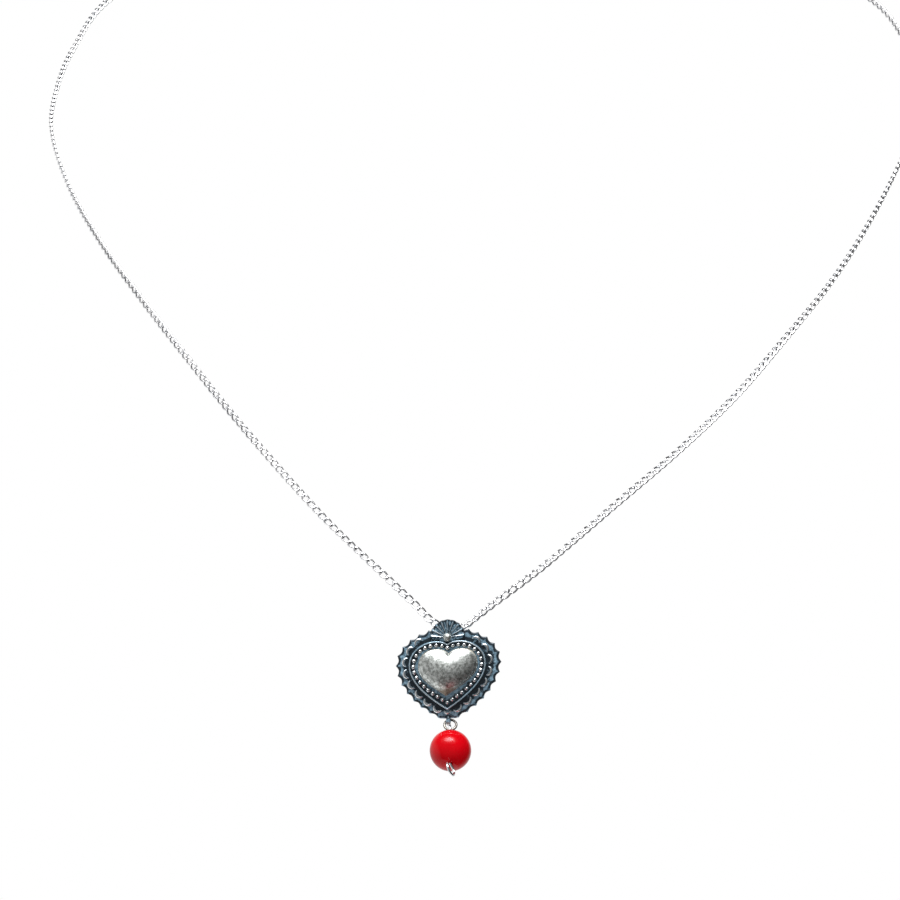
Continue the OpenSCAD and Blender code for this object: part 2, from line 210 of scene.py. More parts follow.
FAN_CENTRE = np.array([0.0, -0.6])
FAN_FROM = math.radians(-4)
FAN_SPAN = math.radians(188)
FAN_RAYS = 9
FAN_RAY_STEPS, FAN_FOOT_STEPS = 14, 30
FAN_RADIUS = 2.58
FAN_LOBE = 0.06
FAN_FOOT = [(-2.57, -0.18), (-1.3, -0.4), (0, -0.8), (1.3, -0.4), (2.57, -0.18)]
# The fan's edge and then its face: share of the radius, height between the ridges, the ridges' height,
# share of wear
FAN_PROFILE = [(1.0, PLATE_FACE, 0.0, 0.0), (1.0, FAN_FACE - 0.1, 0.1, 0.0), (0.985, FAN_FACE, 0.22, 0.1)]
FAN_SHARES = (0.94, 0.86, 0.7, 0.5, 0.3)
FAN_RIDGE_ROOT, FAN_RIDGE_GROWTH = 0.05, 0.24
FAN_FADE = 7
FAN_EDGE_WEAR = -0.35
# Wear across a ray: a bright crest with a painted highlight on the side rays, a dark groove beside it, a dim
# floor
CREST_WEAR, CREST_EVEN, CREST_SIDE_HIGHLIGHT, CREST_SHARPNESS = 1.25, 0.75, 0.35, 1.5
GROOVE_WEAR, GROOVE_AT, GROOVE_WIDTH = 0.5, 0.6, 0.2
FAN_FLUTE_WEAR, FAN_FLUTE_SHARPNESS = 0.2, 4
NEARLY_NONE = 1e-9
CORNER_SLACK = 1e-6

# The eyelet's wire is flattened: wider across than it is thick
EYELET = np.array([0.13, -12.69, PLATE_MID])
EYELET_RADIUS = 0.6
EYELET_HALF_WIDTH, EYELET_HALF_THICK = 0.32, 0.25
EYELET_STEPS, EYELET_SIDES = 48, 14
EYELET_WEAR, EYELET_LEAST_WEAR, EYELET_MOST_WEAR = 0.35, -0.1, 0.75

# Dangle: the ring leans forward about the eyelet, and the bead's wire leans further and sways to the right
RING_TOP = np.array([0.13, -12.73, PLATE_MID])
RING_RADIUS = 0.87
RING_SHIFT = 0.3
RING_LEAN = math.radians(40)
LEAN = math.radians(57)
SWAY = math.radians(3)
# Places along the bead's wire, and the turn of each eye in degrees from its lowest point
WIRE_RADIUS = 0.18
WIRE_SIDES = 14
STEM_RADIUS = 0.15
STEM_FROM, STEM_TO, STEM_STEPS = -1.6, -7.92, 24
UPPER_EYE, UPPER_EYE_RADIUS = -0.58, 0.97
UPPER_EYE_ARC = (16, 350)
LOWER_EYE, LOWER_EYE_RADIUS = -8.94, 0.97
LOWER_EYE_ARC = (188, 532)
LOWER_EYE_TURN = math.radians(28)
EYE_STEPS = 30
BEAD_AT, BEAD_RADIUS, BEAD_BORE = -4.76, 3.0, 0.19
BEAD_BEVEL, BEAD_BEVEL_DEPTH = 0.06, 0.05
BEAD_RINGS, BEAD_SIDES = 60, 72

# A direction that no tube starts along
ODD_WAY = (0.31, 0.52, 0.79)

# Surface patterns: blotches to the metre along each axis
FILM_BLOTCHES = (1800, 1800, 1800)
FILM_SHADES = (3600, 3600, 3600)
OXIDE_GRAIN = (7000, 7000, 7000)
SCRATCHES = (900, 2500, 8000)
SCRATCH_TURN = (0, math.radians(45), 0)
POLISH_MOTTLE = (2600, 2600, 2600)
TARNISH_BLOTCHES = (900, 900, 900)
WIRE_PATCHES = (500, 500, 500)
WIRE_GRAIN = (6000, 6000, 6000)
BEAD_CLOUDS = (260, 260, 260)
BEAD_GRAIN = (3000, 3000, 3000)
FLOOR_CLOUDS = (40, 40, 40)

# Where noise passes from one shade to the other
SOFT = (0.3, 0.7)
FIRM = (0.38, 0.62)
PATCHY = (0.4, 0.62)
CLOUDY = (0.35, 0.68)
# Where wear passes from black to filmed, from filmed to bright, and from tarnished to clean
FILMED = (-0.1, 0.28)
WORN = (0.5, 0.9)
CLEAN = (0.1, 0.6)

OXIDE_BLACK = (0.014, 0.024, 0.033)
FILM_DIM = (0.105, 0.185, 0.25)
FILM_BLUE = (0.215, 0.335, 0.42)
WORN_SILVER = (0.8, 0.82, 0.83)
# The eyelet's worn silver is tinted red: a painted reflection of the bead below it
EYELET_SILVER_RED_REFLECTION = (0.66, 0.56, 0.52)
POLISH_DARK = (0.27, 0.285, 0.27)
POLISH_LIGHT = (0.74, 0.77, 0.75)
TARNISH = (0.44, 0.4, 0.33)
CHAIN_BRIGHT, CHAIN_DULL = (0.86, 0.86, 0.87), (0.71, 0.72, 0.74)
# The drop ring's silver is darkened far below bright silver: painted shade, so that it looks dark between its
# highlights
RING_PAINTED_SHADE_LIGHT, RING_PAINTED_SHADE_DULL = (0.15, 0.14, 0.125), (0.1, 0.092, 0.085)
WIRE_BRIGHT, WIRE_DULL = (0.92, 0.92, 0.93), (0.76, 0.76, 0.78)
BEAD_RED, BEAD_DEEP_RED = (0.36, 0.0003, 0.003), (0.315, 0.0003, 0.0025)
BEAD_SHEEN = (1.0, 0.8, 0.84, 1.0)
BEAD_IOR, BEAD_SPECULAR = 1.38, 0.3
# Oxidised silver's metal and roughness, from filmed to worn bright
OXIDE_METALLIC = (0.4, 1.0)
OXIDE_ROUGHNESS = (0.36, 0.26)
# Least roughness of the other metals, and what scratches, tarnish and grain add to it
DOME_ROUGHNESS, BALL_ROUGHNESS = 0.37, 0.42
CHAIN_ROUGHNESS, RING_ROUGHNESS, WIRE_ROUGHNESS = 0.08, 0.06, 0.12
SCRATCH_ROUGHENS, TARNISH_ROUGHENS, GRAIN_ROUGHENS = 0.12, 0.4, 0.1
SCRATCH_RELIEF = 0.4
BEAD_ROUGHNESS = (0.1, 0.15)

# Pale floor, well below the pendant
FLOOR_AT = (-200, -60, -520)
FLOOR_RADIUS = 360
FLOOR_SIDES = 96
FLOOR_DIM, FLOOR_PALE = (0.7, 0.7, 0.7), (0.74, 0.74, 0.74)
FLOOR_ROUGHNESS = 0.9

# Bright parts of the studio in reflections: direction, where each begins and is full, and its level
STUDIO = [
    ((-0.35, 0.85, -0.4), 0.1, 0.7, 0.8),
    ((-0.95, 0.12, -0.22), 0.62, 0.96, 1.1),
    ((-0.25, -0.85, 0.45), 0.1, 1.0, 0.23),
]
STUDIO_LEAST = 0.04
STUDIO_FILL = 0.85
BACKDROP = 1.0

# One wide softbox high in front of the pendant, in ovals that are hotter inwards: place from the heart,
# size, power in watts
SOFTBOX = [
    ("softbox_edge", (-75, -252, 670), (1250, 760), 1.2),
    ("softbox", (-60, -240, 645), (930, 530), 1.2),
    ("softbox_core", (-40, -228, 622), (620, 360), 5.0),
    ("softbox_heart", (-32, -222, 610), (380, 210), 3.0),
]


def unit(v):
    """Vectors of length one along the last axis."""
    v = np.asarray(v, float)
    return v / np.linalg.norm(v, axis=-1, keepdims=True)


def travelled(points):
    """Distance travelled at each point of a polyline."""
    return np.concatenate([[0.0], np.cumsum(np.linalg.norm(np.diff(points, axis=0), axis=1))])


def at_distance(points, s):
    """Points of a polyline at distances s."""
    reach = travelled(points)
    return np.stack([np.interp(s, reach, points[:, k]) for k in range(points.shape[1])], axis=-1)


def bezier(p, steps):
    """Points of one cubic curve, without its end."""
    p = np.asarray(p, float)
    t = (np.arange(steps) / steps)[:, None]
    return (1 - t) ** 3 * p[0] + 3 * (1 - t) ** 2 * t * p[1] + 3 * (1 - t) * t**2 * p[2] + t**3 * p[3]


def half_outline(curves):
    """Right half of a heart outline, from the cleft to the tip."""
    return np.concatenate([bezier(curves[0], CURVE_STEPS), bezier(curves[1], CURVE_STEPS), [curves[1][3]]])


def mirrored(right):
    """Whole outline from its right half, which begins and ends on the middle line."""
    return np.concatenate([right, right[-2:0:-1] * [-1, 1]])


def outline(curves, count):
    """Whole heart outline of 2 * count points, evenly spaced on each half."""
    half = half_outline(curves)
    return mirrored(at_distance(half, np.linspace(0, travelled(half)[-1], count + 1)))


def inward(ring):
    """Inward unit normals of a closed clockwise outline."""
    t = unit(np.roll(ring, -1, axis=0) - np.roll(ring, 1, axis=0))
    return np.stack([t[:, 1], -t[:, 0]], axis=1)


def lift(ring, height):
    """Outline points at a height above the bail's axis."""
    return np.column_stack([ring, np.broadcast_to(height, len(ring))])


def from_bail(points):
    """Places (right, up, front) of the bail's axis to the frame's millimetres."""
    p = np.asarray(points, float)
    return BAIL + np.stack([p[..., 0], -p[..., 2], p[..., 1]], axis=-1)


def on_heart(points):
    """Heart coordinates (right, up, front), made a little crooked, to the frame's millimetres."""
    p = np.array(points, float)
    p[..., 1] += HEART_SKEW * p[..., 0]
    return from_bail(p)


def leaned(points, angle):
    """Points (right, up, front) leaned forward about the right-hand axis."""
    p = np.asarray(points, float)
    up = p[..., 1] * math.cos(angle) + p[..., 2] * math.sin(angle)
    front = -p[..., 1] * math.sin(angle) + p[..., 2] * math.cos(angle)
    return np.stack([p[..., 0], up, front], axis=-1)


def on_dangle(points):
    """Dangle coordinates (right, up along the wire, front) to the frame's millimetres."""
    p = np.asarray(points, float)
    right = p[..., 0] * math.cos(SWAY) - p[..., 1] * math.sin(SWAY)
    up = p[..., 0] * math.sin(SWAY) + p[..., 1] * math.cos(SWAY)
    drop = math.sqrt(RING_RADIUS**2 - RING_SHIFT**2) + RING_RADIUS
    hinge = RING_TOP + leaned((RING_SHIFT, -drop, 0), RING_LEAN)
    return from_bail(hinge + leaned(np.stack([right, up, p[..., 2]], axis=-1), LEAN))


def build(name, points, faces, body, material, wear=None):
    """A smooth mesh piece from points in millimetres, riding on a body."""
    mesh = bpy.data.meshes.new(name)
    mesh.from_pydata((np.asarray(points) * MM).tolist(), [], [list(f) for f in faces])
    mesh.validate()
    mesh.shade_smooth()
    if wear is not None:
        mesh.attributes.new("wear", "FLOAT", "POINT").data.foreach_set("value", np.asarray(wear, np.float32))
    piece = bpy.data.objects.new(name, mesh)
    bpy.context.scene.collection.objects.link(piece)
    mesh.materials.append(material)
    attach(piece, body)
    return piece


def loft_faces(rings, count, closed=False):
    """Quads between rings of count points each; closed joins the last ring to the first."""
    faces = []
    for j in range(rings if closed else rings - 1):
        a, b = j * count, (j + 1) % rings * count
        faces += [(a + i, a + (i + 1) % count, b + (i + 1) % count, b + i) for i in range(count)]
    return faces


def capped(rings, start=None, end=None):
    """Points and faces of a loft, closed by fans to a start and an end point where given."""
    rings = np.asarray(rings)
    count = rings.shape[1]
    points = rings.reshape(-1, 3)
    faces = loft_faces(len(rings), count)
    if start is not None:
        points = np.vstack([points, start])
        faces += [((i + 1) % count, i, len(points) - 1) for i in range(count)]
    if end is not None:
        points = np.vstack([points, end])
        last = (len(rings) - 1) * count
        faces += [(last + i, last + (i + 1) % count, len(points) - 1) for i in range(count)]
    return points, faces


def tube(path, radii, sides, closed=False, normal=None):
    """Points and faces of a round tube along a path; open ends are closed."""
    path = np.asarray(path, float)
    if closed:
        t = unit(np.roll(path, -1, axis=0) - np.roll(path, 1, axis=0))
    else:
        t = unit(np.gradient(path, axis=0))
    n = np.empty_like(path)
    n[0] = unit(np.cross(t[0], ODD_WAY) if normal is None else normal - t[0] * (t[0] @ normal))
    for i in range(1, len(path)):
        n[i] = unit(n[i - 1] - t[i] * (t[i] @ n[i - 1]))
    b = np.cross(t, n)
    turn = 2 * math.pi * np.arange(sides) / sides
    round_off = np.cos(turn)[:, None] * n[:, None] + np.sin(turn)[:, None] * b[:, None]
    rings = path[:, None] + np.broadcast_to(radii, len(path))[:, None, None] * round_off
    if closed:
        return rings.reshape(-1, 3), loft_faces(len(path), sides, closed=True)
    return capped(rings, path[0], path[-1])


def joined(parts):
    """Points and faces of several (points, faces) pairs as one mesh."""
    points, faces, base = [], [], 0
    for p, f in parts:
        points.append(p)
        faces += [tuple(base + i for i in face) for face in f]
        base += len(p)
    return np.concatenate(points), faces


def lathe(profile, steps):
    """Rings of (radius, along) pairs turned about the second axis, as (right, along, front) points."""
    turn = 2 * math.pi * np.arange(steps) / steps
    right, front = np.cos(turn), np.sin(turn)
    return np.array([np.column_stack([r * right, np.full(steps, along), r * front]) for r, along in profile])


def grain(radius, foot, steps, sides):
    """Points (right, up, front) and faces of a ball that is cut off at its foot and faces the front."""
    arc = np.linspace(foot, 0.5, steps)[:-1] * math.pi
    rings = lathe([(radius * math.cos(a), radius * math.sin(a)) for a in arc], sides)
    points, faces = capped(rings, (0, radius * math.sin(arc[0]), 0), (0, radius, 0))
    return points[:, [0, 2, 1]], [face[::-1] for face in faces]


class Nodes:
    """A material's node tree, with its shader and short ways to add to it."""

    def __init__(self, name):
        self.material = bpy.data.materials.new(name)
        self.material.use_nodes = True
        self.tree = self.material.node_tree
        self.shader = self.tree.nodes["Principled BSDF"]

    def add(self, kind, **values):
        node = self.tree.nodes.new(kind)
        for key, value in values.items():
            setattr(node, key, value)
        return node

    def link(self, out, into):
        self.tree.links.new(out, into)

    def feed(self, **sockets):
        """Links values to the shader's own inputs."""
        for key, value in sockets.items():
            self.link(value, self.shader.inputs[key.replace("_", " ")])

    def set(self, **values):
        """Sets the shader's own inputs to constants."""
        for key, value in values.items():
            self.shader.inputs[key.replace("_", " ")].default_value = value

    def place(self, stretch, turn):
        """Object coordinates in the frame, turned about its axes and then scaled by stretch."""
        mapping = self.add("ShaderNodeMapping", vector_type="TEXTURE")
        mapping.inputs["Scale"].default_value = [1 / s for s in stretch]
        mapping.inputs["Rotation"].default_value = turn
        self.link(self.add("ShaderNodeTexCoord").outputs["Object"], mapping.inputs["Vector"])
        return mapping.outputs["Vector"]

    def noise(self, stretch, detail=4.0, rough=0.55, turn=(0, 0, 0)):
        """Noise value; stretch is the number of blotches to the metre along each turned axis."""
        noise = self.add("ShaderNodeTexNoise")
        noise.inputs["Scale"].default_value = 1.0
        noise.inputs["Detail"].default_value = detail
        noise.inputs["Roughness"].default_value = rough
        self.link(self.place(stretch, turn), noise.inputs["Vector"])
        return noise.outputs["Fac"]

    def ramp(self, value, low, high, to_low=0.0, to_high=1.0):
        """Smooth step of a value between two others."""
        node = self.add("ShaderNodeMapRange", interpolation_type="SMOOTHSTEP")
        for key, number in (("From Min", low), ("From Max", high), ("To Min", to_low), ("To Max", to_high)):
            node.inputs[key].default_value = number
        self.link(value, node.inputs["Value"])
        return node.outputs["Result"]

    def math(self, operation, a, b):
        """One sum; a and b are numbers or sockets."""
        node = self.add("ShaderNodeMath", operation=operation)
        for value, socket in ((a, node.inputs[0]), (b, node.inputs[1])):
            if isinstance(value, (int, float)):
                socket.default_value = value
            else:
                self.link(value, socket)
        return node.outputs["Value"]

    def varied(self, value, noise, amount):
        """A value that noise raises and lowers by up to half an amount."""
        return self.math("ADD", value, self.math("MULTIPLY", self.math("SUBTRACT", noise, 0.5), amount))

    def mix(self, fac, a, b):
        """Colour mix; a and b are colours or sockets."""
        node = self.add("ShaderNodeMix", data_type="RGBA")
        self.link(fac, node.inputs["Factor"])
        for value, socket in ((a, node.inputs[6]), (b, node.inputs[7])):
            if isinstance(value, tuple):
                socket.default_value = (*value, 1.0)
            else:
                self.link(value, socket)
        return node.outputs[2]

    def wear(self):
        """How far the surface is worn bright, painted highlights included."""
        return self.add("ShaderNodeAttribute", attribute_name="wear").outputs["Fac"]

    def bump(self, height, distance, strength):
        """Fine relief; distance is in metres."""
        node = self.add("ShaderNodeBump")
        node.inputs["Distance"].default_value = distance
        node.inputs["Strength"].default_value = strength
        self.link(height, node.inputs["Height"])
        self.feed(Normal=node.outputs["Normal"])


def oxidised_silver(name, bright=WORN_SILVER):
    """Blackened silver: black hollows, a blue-grey film on the flats, bright metal on worn ridges."""
    m = Nodes(name)
    fine = m.noise(OXIDE_GRAIN, detail=3.0)
    wear = m.varied(m.wear(), fine, amount=0.5)
    filmed = m.varied(wear, m.noise(FILM_BLOTCHES), amount=1.3)
    worn = m.ramp(wear, *WORN)
    film = m.mix(m.ramp(m.noise(FILM_SHADES, detail=3.0), *FIRM), FILM_DIM, FILM_BLUE)
    unworn = m.mix(m.ramp(filmed, *FILMED), OXIDE_BLACK, film)
    m.feed(Base_Color=m.mix(worn, unworn, bright), Metallic=m.ramp(worn, 0.0, 1.0, *OXIDE_METALLIC),
           Roughness=m.ramp(worn, 0.0, 1.0, *OXIDE_ROUGHNESS))
    m.bump(fine, distance=0.00003, strength=0.5)
    return m.material


def polished_silver(name, rough):
    """Hand-polished silver, mottled and hair-scratched, with a little brown tarnish where wear is low."""
    m = Nodes(name)
    scratch = m.noise(SCRATCHES, detail=3.0, turn=SCRATCH_TURN)
    mottle = m.noise(POLISH_MOTTLE, detail=6.0, rough=0.7)
    clean = m.ramp(m.varied(m.wear(), m.noise(TARNISH_BLOTCHES), amount=0.9), *CLEAN)
    polish = m.mix(m.ramp(mottle, *FIRM), POLISH_DARK, POLISH_LIGHT)
    dull = m.math("MULTIPLY", m.math("SUBTRACT", 1.0, clean), TARNISH_ROUGHENS)
    m.feed(Base_Color=m.mix(clean, TARNISH, polish),
           Roughness=m.math("ADD", m.ramp(scratch, *SOFT, rough, rough + SCRATCH_ROUGHENS), dull))
    m.set(Metallic=1.0)
    relief = m.math("ADD", m.math("MULTIPLY", scratch, SCRATCH_RELIEF), mottle)
    m.bump(relief, distance=0.00002, strength=0.12)
    return m.material


def wire_silver(name, bright, dull, rough):
    """Drawn silver wire with faint dull patches and a fine grain."""
    m = Nodes(name)
    grains = m.noise(WIRE_GRAIN, detail=2.0)
    m.feed(Base_Color=m.mix(m.ramp(m.noise(WIRE_PATCHES, detail=2.0), *PATCHY), bright, dull),
           Roughness=m.ramp(grains, *SOFT, rough, rough + GRAIN_ROUGHENS))
    m.set(Metallic=1.0)
    m.bump(grains, distance=0.00001, strength=0.3)
    return m.material


def red_bead_material(name):
    """Glossy red bead, slightly cloudy within."""
    m = Nodes(name)
    cloud = m.noise(BEAD_CLOUDS, detail=5.0)
    m.feed(Base_Color=m.mix(m.ramp(cloud, *CLOUDY), BEAD_RED, BEAD_DEEP_RED),
           Roughness=m.ramp(m.noise(BEAD_GRAIN, detail=2.0), *SOFT, *BEAD_ROUGHNESS))
    m.set(IOR=BEAD_IOR, Specular_IOR_Level=BEAD_SPECULAR, Specular_Tint=BEAD_SHEEN)
    m.bump(cloud, distance=0.00002, strength=0.1)
    return m.material


def make_camera():
    """The photograph's camera."""
    data = bpy.data.cameras.new("camera")
    data.lens = CAMERA_LENS
    data.sensor_width = CAMERA_SENSOR
    data.clip_start = CAMERA_CLIP * MM
    camera = bpy.data.objects.new("camera", data)
    camera.location = Vector(CAMERA_AT) * MM
    camera.rotation_euler = (math.radians(90), 0, CAMERA_TURN)
    bpy.context.scene.collection.objects.link(camera)
    bpy.context.scene.camera = camera


def chain_path():
    """The chain's smooth centre line, and the distance along it at the bail."""
    route = np.array(ROUTE_LEFT + [tuple(HANG)] + ROUTE_RIGHT, float)
    ahead = np.vstack([route[1:], route[-1:]])
    behind = np.vstack([route[:1], route[:-1]])
    heading = unit(ahead - behind)
    t = (np.arange(ROUTE_STEPS) / ROUTE_STEPS)[:, None]
    pieces = []
    for i in range(len(route) - 1):
        a, b = route[i], route[i + 1]
        reach = np.linalg.norm(b - a)
        pieces.append((2 * t**3 - 3 * t**2 + 1) * a + (t**3 - 2 * t**2 + t) * reach * heading[i]
                      + (3 * t**2 - 2 * t**3) * b + (t**3 - t**2) * reach * heading[i + 1])
    path = np.vstack(pieces + [route[-1:]])
    return path, travelled(path)[len(ROUTE_LEFT) * ROUTE_STEPS]


def curb_link(place, along, across, face):
    """One twisted link: its ends turn a quarter turn against each other."""
    t = 2 * math.pi * np.arange(LINK_STEPS) / LINK_STEPS
    twist = LINK_TWIST * np.cos(t)
    wide = LINK_HALF_WIDTH * np.sin(t)
    path = (place + (LINK_HALF_LENGTH * np.cos(t))[:, None] * along
            + (wide * np.cos(twist))[:, None] * across + (wide * np.sin(twist))[:, None] * face)
    return tube(path, LINK_WIRE, LINK_SIDES, closed=True)


def chain_side(name, path, bail_s, way, roll, material):
    """The curb links of one side, from the bail outwards, and the centre line that they follow."""
    total = travelled(path)[-1]
    length = bail_s if way < 0 else total - bail_s
    # An even number of steps, from the link half a step beside the bail to the one at the path's end
    count = 2 * round(length / LINK_PITCH / 2 - 0.25)
    pitch = length / (count + 0.5)
    s = bail_s + way * (np.arange(count + 1) + 0.5) * pitch
    place = at_distance(path, s)
    ahead = at_distance(path, np.minimum(s + LINK_HALF_LENGTH, total))
    along = unit(ahead - at_distance(path, np.maximum(s - LINK_HALF_LENGTH, 0)))
    out = (place - NECK_AXIS) * [1, 1, 0]
    face = unit(out - along * np.sum(out * along, axis=1, keepdims=True))
    across = np.cross(face, along)
    turn = np.radians(np.interp(place[:, 0], *zip(*roll)))[:, None]
    rolled_face = np.cos(turn) * face + np.sin(turn) * across
    rolled_across = np.cross(rolled_face, along)
    links = [curb_link(*frame_of) for frame_of in zip(place, along, rolled_across, rolled_face)]
    points, faces = joined(links)
    piece = build(name, points, faces, "chain", material)
    ends = sorted((bail_s, bail_s + way * length))
    line = at_distance(path, np.linspace(*ends, CORD_POINTS))
    return piece, length, line if way > 0 else line[::-1]


def make_chain():
    """Both sides of the chain, each running from the bail to its half of the clasp."""
    silver = wire_silver("chain_silver", CHAIN_BRIGHT, CHAIN_DULL, CHAIN_ROUGHNESS)
    path, bail_s = chain_path()
    left, left_length, left_line = chain_side("chain_links_left", path, bail_s, -1, ROLL_LEFT, silver)
    right, right_length, right_line = chain_side("chain_links_right", path, bail_s, 1, ROLL_RIGHT, silver)
    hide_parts("chain_left")
    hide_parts("chain_right")
    for node in CLASP_LEFT + CLASP_RIGHT:
        show_node(node, silver)


def show_node(node, material):
    """Keeps a CAD node in view with a better material."""
    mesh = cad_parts[node].data
    mesh.materials.clear()
    mesh.materials.append(material)
    mesh.shade_smooth()


def toothed_outline():
    """The plate's outline without and with its teeth, and how deep in a hollow each point is."""
    half = half_outline(PLATE)
    u = np.arange(TEETH * TOOTH_STEPS + 1) / TOOTH_STEPS
    right = at_distance(half, travelled(half)[-1] * u / TEETH)
    low = right[:, 1] < TIP_FROM
    right[low, 1] -= TIP_DROP * np.sin(math.pi * np.clip(right[low, 0] / TIP_REACH, 0, 1))
    dip = np.where(u > TEETH - 1, TIP_DEPTH, TOOTH_DEPTH) * np.sin(math.pi * (u % 1))
    smooth = mirrored(right)
    dips = np.concatenate([dip, dip[-2:0:-1]])
    return smooth, smooth + dips[:, None] * inward(smooth), dips / TOOTH_DEPTH


def make_plate(material):
    """Toothed back plate whose edge band is fluted from tooth to tooth."""
    smooth, toothed, hollow = toothed_outline()
    into = inward(smooth)
    flute = FLUTE_DEPTH * (FLUTE_ABOVE - hollow)
    rings, wear = [], []
    for on_teeth, inside, height, fluted, worn in PLATE_PROFILE:
        rings.append(lift((toothed if on_teeth else smooth) + inside * into, height + fluted * flute))
        wear.append(worn + TOOTH_WEAR * (0.5 - hollow))
    rubbed = np.clip((RUBBED_FROM - smooth[:, 1]) / RUBBED_REACH, 0, 1) * (1 - hollow)
    for row, share in RUBBED_ROWS:
        wear[row] = wear[row] + share * rubbed
    points, faces = capped(rings, (*PLATE_MIDDLE, PLATE_BACK), (*PLATE_MIDDLE, PLATE_FACE))
    plate = build("toothed_plate", on_heart(points + (PLATE_SHIFT, 0, 0)), faces, "heart",
                  material, np.concatenate(wear + [[PLATE_BACK_WEAR], [PLATE_FACE_WEAR]]))
    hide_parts("back_plate")


def scallop_places():
    """Centre, outward direction and radius of each crescent on the right half, from the tip upwards."""
    half = half_outline(SCALLOPS)
    end = travelled(half)[-1]
    yield TIP_SCALLOP, np.array([0.0, -1.0]), TIP_SCALLOP_RADIUS
    for i in range(1, SCALLOP_COUNT + 1):
        s = end - i * SCALLOP_GAP
        at, near = at_distance(half, np.array([s, s - TANGENT_STEP]))
        along = unit(at - near)
        out = np.array([-along[1], along[0]])
        yield at - SCALLOP_INSET * out, out, SCALLOP_RADIUS


def make_scallops(material):
    """Crescents between the teeth and the tray, thickest at their backs."""
    phi = np.linspace(-0.5, 0.5, SCALLOP_STEPS) * SCALLOP_SPAN
    thick = SCALLOP_THIN + SCALLOP_SWELL * np.cos(phi * math.pi / SCALLOP_SPAN)
    parts, wear = [], []
    for i, (centre, out, radius) in enumerate(scallop_places()):
        side = np.array([out[1], -out[0]])
        arc = centre + radius * (np.cos(phi)[:, None] * out + np.sin(phi)[:, None] * side)
        for mirror in ((1,) if i == 0 else (1, -1)):
            points, faces = tube(lift(arc * [mirror, 1], PLATE_FACE + SCALLOP_LIFT), thick, SCALLOP_SIDES)
            parts.append((points, faces))
            wear.append(np.clip((points[:, 2] - PLATE_FACE) / SCALLOP_BRIGHT_AT, 0, 1))
    points, faces = joined(parts)
    piece = build("scallops", on_heart(points), faces, "heart", material,
                  np.concatenate(wear))
    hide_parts("scallop_border")


def make_tray(material):
    """Raised heart that carries the rim, the granules and the dome."""
    ring = outline(TRAY, TRAY_POINTS)
    into = inward(ring)
    rings = [lift(ring + inside * into, height) for inside, height, worn in TRAY_PROFILE]
    rings += [lift(outline(GRANULES, TRAY_POINTS), TRAY_FACE),
              lift(DOME_MIDDLE + DOME_MARGIN * dome_arms(TRAY_POINTS), TRAY_FACE)]
    points, faces = capped(rings, None, (*DOME_MIDDLE, TRAY_FACE))
    bottom = [tuple(range(2 * TRAY_POINTS))[::-1]]
    levels = [worn for inside, height, worn in TRAY_PROFILE] + [TRAY_GRAIN_WEAR, TRAY_DOME_WEAR]
    wear = np.append(np.repeat(levels, 2 * TRAY_POINTS), TRAY_MIDDLE_WEAR)
    tray = build("heart_tray", on_heart(points), faces + bottom, "heart", material, wear)
    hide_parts("tray")


def make_rim(material):
    """Thin bright wall round the tray."""
    outer, inner = outline(TRAY, RIM_POINTS), outline(RIM, RIM_POINTS)
    middle = (outer + inner) / 2
    top = TRAY_FACE + RIM_HEIGHT
    shoulder, crown = top - RIM_SHOULDER, top - RIM_CROWN
    rings = [lift(outer, TRAY_FACE), lift(outer, shoulder), lift((outer + middle) / 2, crown),
             lift(middle, top),
             lift((inner + middle) / 2, crown), lift(inner, shoulder), lift(inner, TRAY_FACE)]
    # Even wear, plus a painted highlight towards the upper right and the lower left
    rubbed = RIM_EVEN_WEAR + RIM_HIGHLIGHT_WEAR * np.abs(unit(middle - RIM_MIDDLE) @ RIM_HIGHLIGHT_WAY)
    wear = np.concatenate([level * rubbed for level in RIM_WEAR])
    faces = loft_faces(len(rings), 2 * RIM_POINTS, closed=True)
    rim = build("heart_rim", on_heart(np.concatenate(rings)), faces, "heart", material,
                wear)
    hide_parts("rim")


def make_granules(material):
    """Row of soldered grains, each a little different in size."""
    half = half_outline(GRANULES)
    length = travelled(half)[-1]
    right = at_distance(half, length * np.arange(GRANULE_COUNT + 1) / GRANULE_COUNT)
    places = np.concatenate([right, right[1:-1] * [-1, 1]])
    parts, wear = [], []
    for i, place in enumerate(places):
        r = GRANULE_RADIUS * (1 + GRANULE_VARIES * math.sin(GRANULE_RHYTHM * i))
        points, faces = grain(r, GRANULE_FOOT, GRANULE_STEPS, GRANULE_SIDES)
        parts.append((points + (*place, TRAY_FACE), faces))
        wear.append(np.clip(GRANULE_WEAR + points[:, 2] / r, 0, 1))
    points, faces = joined(parts)
    piece = build("grain_row", on_heart(points), faces, "heart", material,
                  np.concatenate(wear))
    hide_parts("granules")


def dome_arms(count):
    """The dome's leaning outline, from its middle."""
    arms = outline(DOME, count) - DOME_MIDDLE
    arms[:, 0] += DOME_SKEW * arms[:, 1]
    return arms


